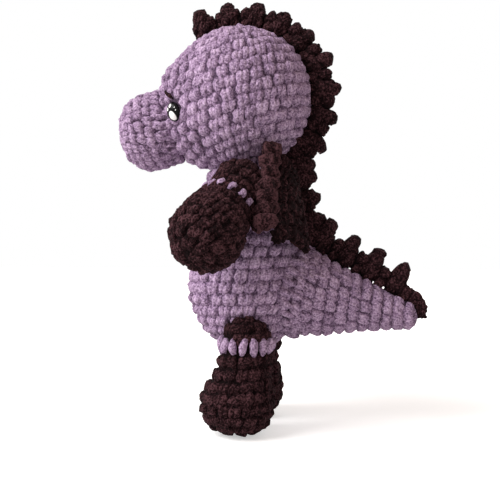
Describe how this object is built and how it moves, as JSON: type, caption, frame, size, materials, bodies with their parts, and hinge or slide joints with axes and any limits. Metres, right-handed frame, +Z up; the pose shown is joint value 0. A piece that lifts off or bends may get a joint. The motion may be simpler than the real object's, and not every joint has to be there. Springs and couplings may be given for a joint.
{
  "type": "stuffed dinosaur toy",
  "caption": "Crocheted stuffed dinosaur with a round head, puffy snout, glossy eyes, swinging arms and legs, cone tail, folded wings and a spiked crest.",
  "frame": {"origin": "On the floor plane under the middle of the toy's bounding box, with both soles at Z = 0", "axes": "+Z up, the toy faces -Y, its left side is +X"},
  "size_m": [0.222, 0.238, 0.3383],
  "materials": {
    "lilac_yarn": "matte",
    "plum_yarn": "matte",
    "fibrefill": "matte",
    "eye_plastic": "gloss",
    "washer_plastic": "matte"
  },
  "bodies": {
    "torso": {"body_cover": "lilac_yarn", "body_stuffing": "fibrefill", "back_spikes": "plum_yarn"},
    "neck": {"neck_seam": "lilac_yarn"},
    "head": {"head_cover": "lilac_yarn", "head_stuffing": "fibrefill", "head_spikes": "plum_yarn", "snout_cover": "lilac_yarn", "snout_stuffing": "fibrefill", "snout_seam": "lilac_yarn", "left_eye": "eye_plastic", "right_eye": "eye_plastic", "left_eye_washer": "washer_plastic", "right_eye_washer": "washer_plastic", "left_brow": "plum_yarn", "right_brow": "plum_yarn"},
    "left_arm": {"left_arm_cover": "plum_yarn", "left_arm_stripe": "lilac_yarn", "left_arm_stuffing": "fibrefill"},
    "right_arm": {"right_arm_cover": "plum_yarn", "right_arm_stripe": "lilac_yarn", "right_arm_stuffing": "fibrefill"},
    "left_leg": {"left_leg_cover": "plum_yarn", "left_leg_stripe": "lilac_yarn", "left_leg_stuffing": "fibrefill"},
    "right_leg": {"right_leg_cover": "plum_yarn", "right_leg_stripe": "lilac_yarn", "right_leg_stuffing": "fibrefill"},
    "tail": {"tail_cover": "lilac_yarn", "tail_stuffing": "fibrefill", "tail_seam": "lilac_yarn", "tail_spikes": "plum_yarn"},
    "left_wing": {"left_wing": "plum_yarn", "left_wing_edge": "plum_yarn"},
    "right_wing": {"right_wing": "plum_yarn", "right_wing_edge": "plum_yarn"}
  },
  "joints": [
    {"name": "head_turn", "type": "hinge", "parent": "torso", "child": "neck", "pos_m": [0, -0.02282, 0.25926], "axis": [0, -0.1078, 0.9942], "range_deg": [-20, 20], "stiffness_Nm_per_rad": 0.5},
    {"name": "head_nod", "type": "hinge", "parent": "neck", "child": "head", "pos_m": [0, -0.02282, 0.25926], "axis": [1, 0, 0], "range_deg": [-6, 10], "stiffness_Nm_per_rad": 0.8},
    {"name": "left_arm_swing", "type": "hinge", "parent": "torso", "child": "left_arm", "pos_m": [0.04617, -0.01722, 0.18762], "axis": [-1, 0, 0], "range_deg": [-8, 40], "stiffness_Nm_per_rad": 0.12},
    {"name": "right_arm_swing", "type": "hinge", "parent": "torso", "child": "right_arm", "pos_m": [-0.04617, -0.01722, 0.18762], "axis": [-1, 0, 0], "range_deg": [-8, 40], "stiffness_Nm_per_rad": 0.12},
    {"name": "left_leg_swing", "type": "hinge", "parent": "torso", "child": "left_leg", "pos_m": [0.03652, -0.01322, 0.065], "axis": [-1, 0, 0], "range_deg": [-25, 30], "stiffness_Nm_per_rad": 1.2},
    {"name": "right_leg_swing", "type": "hinge", "parent": "torso", "child": "right_leg", "pos_m": [-0.03652, -0.01322, 0.065], "axis": [-1, 0, 0], "range_deg": [-25, 30], "stiffness_Nm_per_rad": 1.2},
    {"name": "tail_wag", "type": "hinge", "parent": "torso", "child": "tail", "pos_m": [0, -0.01722, 0.11555], "axis": [0, 0, 1], "range_deg": [-12, 12], "stiffness_Nm_per_rad": 0.2},
    {"name": "left_wing_open", "type": "hinge", "parent": "torso", "child": "left_wing", "pos_m": [0.0211, 0.03018, 0.14455], "axis": [-0.0923, -0.2072, 0.9739], "range_deg": [0, 45], "stiffness_Nm_per_rad": 0.02},
    {"name": "right_wing_open", "type": "hinge", "parent": "torso", "child": "right_wing", "pos_m": [-0.0211, 0.03018, 0.14455], "axis": [-0.0923, 0.2072, -0.9739], "range_deg": [0, 45], "stiffness_Nm_per_rad": 0.02}
  ]
}
